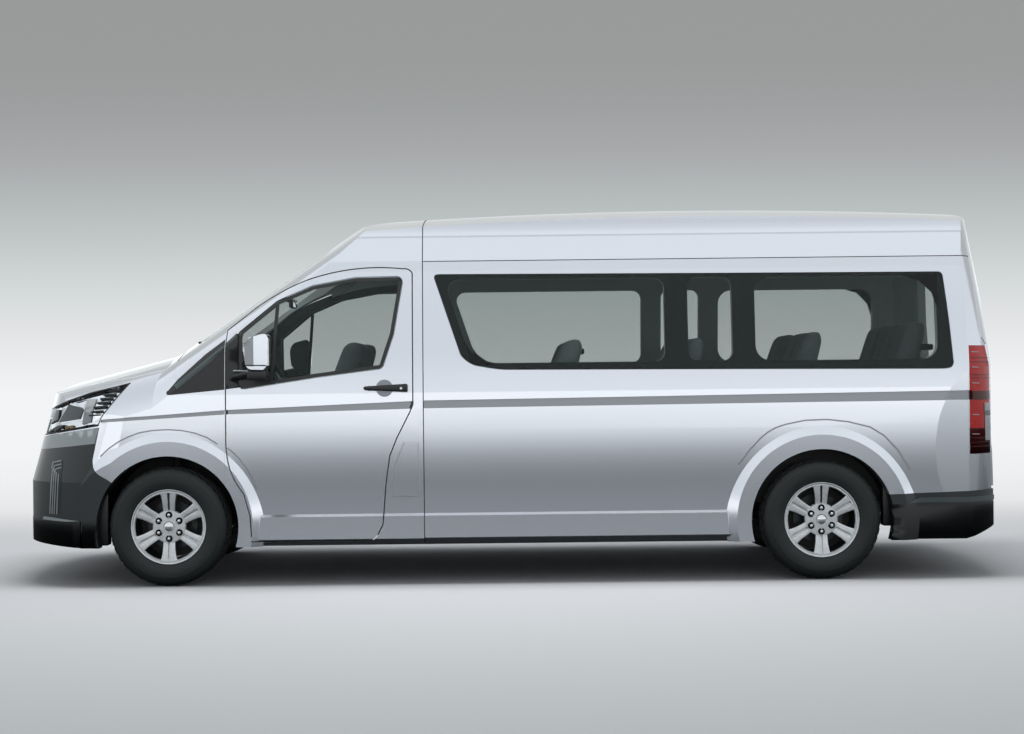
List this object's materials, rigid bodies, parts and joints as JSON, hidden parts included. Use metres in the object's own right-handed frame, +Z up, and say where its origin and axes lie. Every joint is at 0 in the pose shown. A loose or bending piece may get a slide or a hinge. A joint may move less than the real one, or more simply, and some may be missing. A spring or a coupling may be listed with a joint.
{
  "type": "minibus",
  "caption": "High-roof long minibus with hinged front doors, bonnet, tailgate and fuel flap, steered front wheels, rolling wheels and a seated cabin",
  "frame": {"origin": "on the ground under the middle of the overall length and width", "axes": "+X points forwards, +Y to the left side of the vehicle, +Z up"},
  "size_m": [5.915, 2.26, 2.256],
  "materials": {
    "silver_paint": "metallic",
    "mirror_housing": "metallic",
    "black_trim": "satin",
    "grille_trim": "satin",
    "grey_cladding": "satin",
    "lamp_lens": "clear",
    "red_lens": "gloss",
    "tinted_glass": "tinted",
    "underbody_steel": "matt",
    "dash_plastic": "grained",
    "wheel_rubber": "grained",
    "seat_fabric": "woven",
    "cast_metal": "rough",
    "chassis_steel": "satin",
    "tank_plastic": "moulded",
    "exhaust_steel": "dull",
    "alloy": "machined",
    "tyre": "matt"
  },
  "bodies": {
    "vehicle_body": {"aperture_frames": "silver_paint", "body_side_left": "silver_paint", "body_side_right": "silver_paint", "cab_frame": "silver_paint", "dashboard": "dash_plastic", "engine_block": "cast_metal", "exhaust": "exhaust_steel", "floor_pan": "underbody_steel", "front_bumper": "grey_cladding", "front_fenders": "silver_paint", "front_grille": "grille_trim", "front_seats": "seat_fabric", "front_suspension": "chassis_steel", "fuel_tank": "tank_plastic", "headlamps": "lamp_lens", "leaf_springs": "chassis_steel", "passenger_seats": "seat_fabric", "pillar_garnishes": "black_trim", "propeller_shaft": "chassis_steel", "rear_axle": "chassis_steel", "rear_bumper": "grey_cladding", "roof_panel": "silver_paint", "side_windows": "tinted_glass", "sliding_door": "silver_paint", "tail_lamps": "red_lens", "windscreen": "tinted_glass"},
    "bonnet": {"bonnet": "silver_paint"},
    "front_door_left": {"front_door_left": "silver_paint", "door_glass_left": "tinted_glass", "door_mirror_left": "mirror_housing", "door_handle_left": "black_trim"},
    "front_door_right": {"front_door_right": "silver_paint", "door_glass_right": "tinted_glass", "door_mirror_right": "mirror_housing", "door_handle_right": "black_trim"},
    "tailgate": {"tailgate": "silver_paint", "tailgate_glass": "tinted_glass"},
    "fuel_flap": {"fuel_flap": "silver_paint"},
    "steering_wheel": {"steering_wheel": "wheel_rubber"},
    "knuckle_left": {"knuckle_left": "cast_metal"},
    "knuckle_right": {"knuckle_right": "cast_metal"},
    "wheel_front_left": {"rim_front_left": "alloy", "tyre_front_left": "tyre"},
    "wheel_rear_left": {"rim_rear_left": "alloy", "tyre_rear_left": "tyre"},
    "wheel_front_right": {"rim_front_right": "alloy", "tyre_front_right": "tyre"},
    "wheel_rear_right": {"rim_rear_right": "alloy", "tyre_rear_right": "tyre"}
  },
  "joints": [
    {"name": "door_left_hinge", "type": "hinge", "parent": "vehicle_body", "child": "front_door_left", "pos_m": [1.64, 0.968, 0.9], "axis": [0, 0, -1], "range_deg": [0, 65]},
    {"name": "door_right_hinge", "type": "hinge", "parent": "vehicle_body", "child": "front_door_right", "pos_m": [1.64, -0.968, 0.9], "axis": [0, 0, 1], "range_deg": [0, 65]},
    {"name": "bonnet_hinge", "type": "hinge", "parent": "vehicle_body", "child": "bonnet", "pos_m": [1.968, 0, 1.428], "axis": [0, -1, 0], "range_deg": [0, 50]},
    {"name": "tailgate_hinge", "type": "hinge", "parent": "vehicle_body", "child": "tailgate", "pos_m": [-2.868, 0, 2.128], "axis": [0, 1, 0], "range_deg": [0, 85]},
    {"name": "fuel_flap_hinge", "type": "hinge", "parent": "vehicle_body", "child": "fuel_flap", "pos_m": [0.52, 0.95, 0.678], "axis": [0, 0, 1], "range_deg": [0, 85]},
    {"name": "steer_left", "type": "hinge", "parent": "vehicle_body", "child": "knuckle_left", "pos_m": [1.9975, 0.77, 0.236], "axis": [0, -0.2478, 0.9688], "range_deg": [-35, 35]},
    {"name": "steer_right", "type": "hinge", "parent": "vehicle_body", "child": "knuckle_right", "pos_m": [1.9975, -0.77, 0.236], "axis": [0, 0.2478, 0.9688], "range_deg": [-35, 35]},
    {"name": "steering_wheel_turn", "type": "hinge", "parent": "vehicle_body", "child": "steering_wheel", "pos_m": [1.395, 0.43, 1.215], "axis": [-0.848, 0, 0.5299], "range_deg": [-560, 560]},
    {"name": "front_left_roll", "type": "hinge", "parent": "knuckle_left", "child": "wheel_front_left", "pos_m": [1.9975, 0.837, 0.352], "axis": [0, 1, 0], "continuous": true},
    {"name": "rear_left_roll", "type": "hinge", "parent": "vehicle_body", "child": "wheel_rear_left", "pos_m": [-1.8625, 0.837, 0.352], "axis": [0, 1, 0], "continuous": true},
    {"name": "front_right_roll", "type": "hinge", "parent": "knuckle_right", "child": "wheel_front_right", "pos_m": [1.9975, -0.837, 0.352], "axis": [0, 1, 0], "continuous": true},
    {"name": "rear_right_roll", "type": "hinge", "parent": "vehicle_body", "child": "wheel_rear_right", "pos_m": [-1.8625, -0.837, 0.352], "axis": [0, 1, 0], "continuous": true}
  ],
  "couplings": [
    {"joint": "steer_right", "follows": "steer_left", "ratio": 1},
    {"joint": "steering_wheel_turn", "follows": "steer_left", "ratio": 16}
  ]
}
